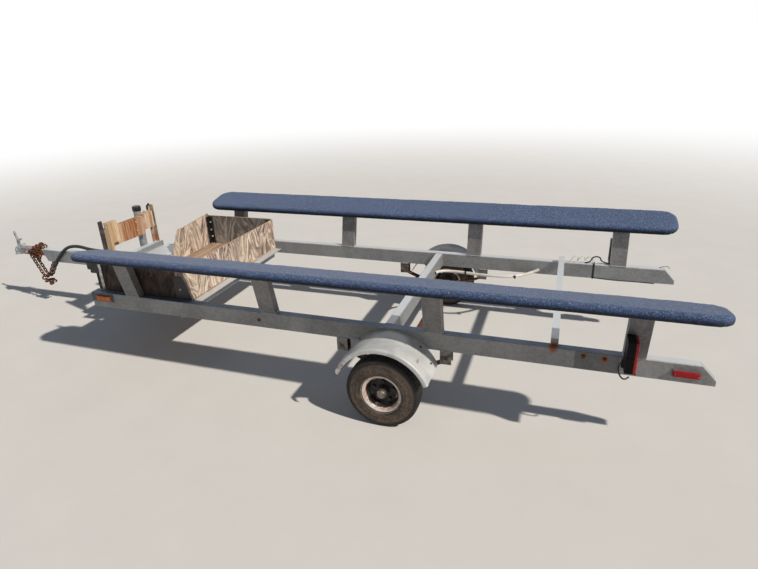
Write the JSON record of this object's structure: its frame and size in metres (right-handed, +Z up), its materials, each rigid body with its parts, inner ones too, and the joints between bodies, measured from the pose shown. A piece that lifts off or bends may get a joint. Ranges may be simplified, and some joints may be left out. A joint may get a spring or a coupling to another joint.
{
  "type": "boat trailer",
  "caption": "Small steel boat trailer with carpeted bunks on leaning posts, a plywood bin behind the bow stop and a jack beside the tongue",
  "frame": {"origin": "on the ground below the middle of the trailer's length and width", "axes": "X forward to the coupler, Y to the trailer's left, Z up"},
  "size_m": [5.157, 1.78, 0.86],
  "materials": {
    "galvanized": "matt zinc grey, weathered, with rust stains",
    "rusty_steel": "brown surface rust over dark steel",
    "carpet": "slate blue marine carpet, short pile",
    "plywood": "weathered bare plywood, grey and tan",
    "board_wood": "weathered bare softwood board",
    "black_steel": "black painted steel",
    "fender_steel": "pale grey, chalky and dented",
    "wheel_paint": "off-white chalky paint with a black centre",
    "hub_steel": "grey steel hub and bright lug nuts",
    "tyre_rubber": "black rubber, dusty brown sidewall",
    "black_plastic": "black moulded lamp housings, lead and plug",
    "red_lens": "red lens",
    "amber_lens": "amber lens",
    "jack_steel": "dull plated steel",
    "jack_cap_plastic": "black cap"
  },
  "bodies": {
    "frame": {"axle_beam": "rusty_steel", "bin_corner_angles": "black_steel", "bin_floor": "plywood", "bin_gussets": "black_steel", "bin_ledges": "galvanized", "bin_wall_front": "plywood", "bin_wall_left": "plywood", "bin_wall_rear": "plywood", "bin_wall_right": "plywood", "bow_plate": "galvanized", "bunk_brackets": "black_steel", "bunk_left": "carpet", "bunk_right": "carpet", "chain_eyes": "rusty_steel", "coupler_body": "rusty_steel", "coupler_latch": "rusty_steel", "crossmember_axle": "galvanized", "crossmember_bin": "galvanized", "crossmember_front": "galvanized", "fender_left": "fender_steel", "fender_right": "fender_steel", "jack_bracket": "jack_steel", "jack_cap": "jack_cap_plastic", "jack_crank": "jack_steel", "jack_tube": "jack_steel", "lamp_housing_left": "black_plastic", "lamp_housing_right": "black_plastic", "lead_ends": "black_plastic", "marker_bases": "black_plastic", "markers_amber": "amber_lens", "markers_red": "red_lens", "posts_left": "galvanized", "posts_right": "galvanized", "rail_left": "galvanized", "rail_right": "galvanized", "rear_bar": "galvanized", "safety_chain_left": "rusty_steel", "safety_chain_right": "rusty_steel", "spring_clamp_left": "rusty_steel", "spring_clamp_right": "rusty_steel", "spring_hangers_left": "rusty_steel", "spring_hangers_right": "rusty_steel", "spring_left": "rusty_steel", "spring_right": "rusty_steel", "stop_bar": "galvanized", "stop_board": "board_wood", "stop_cleat": "board_wood", "stop_hook": "black_steel", "stop_uprights": "rusty_steel", "tail_lenses": "red_lens", "tongue_inner": "rusty_steel", "tongue_outer": "galvanized", "wiring_lead": "black_plastic"},
    "wheel_left": {"rim_left": "wheel_paint", "tyre_left": "tyre_rubber", "hub_left": "hub_steel"},
    "wheel_right": {"rim_right": "wheel_paint", "tyre_right": "tyre_rubber", "hub_right": "hub_steel"},
    "jack_foot": {"jack_leg": "jack_steel"}
  },
  "joints": [
    {"name": "wheel_left_spin", "type": "hinge", "parent": "frame", "child": "wheel_left", "pos_m": [-1.0105, 0.819, 0.205], "axis": [0, 1, 0], "continuous": true},
    {"name": "wheel_right_spin", "type": "hinge", "parent": "frame", "child": "wheel_right", "pos_m": [-1.0105, -0.819, 0.205], "axis": [0, 1, 0], "continuous": true},
    {"name": "jack_lift", "type": "slide", "parent": "frame", "child": "jack_foot", "axis": [0, 0, 1], "range_m": [0, 0.22]}
  ]
}
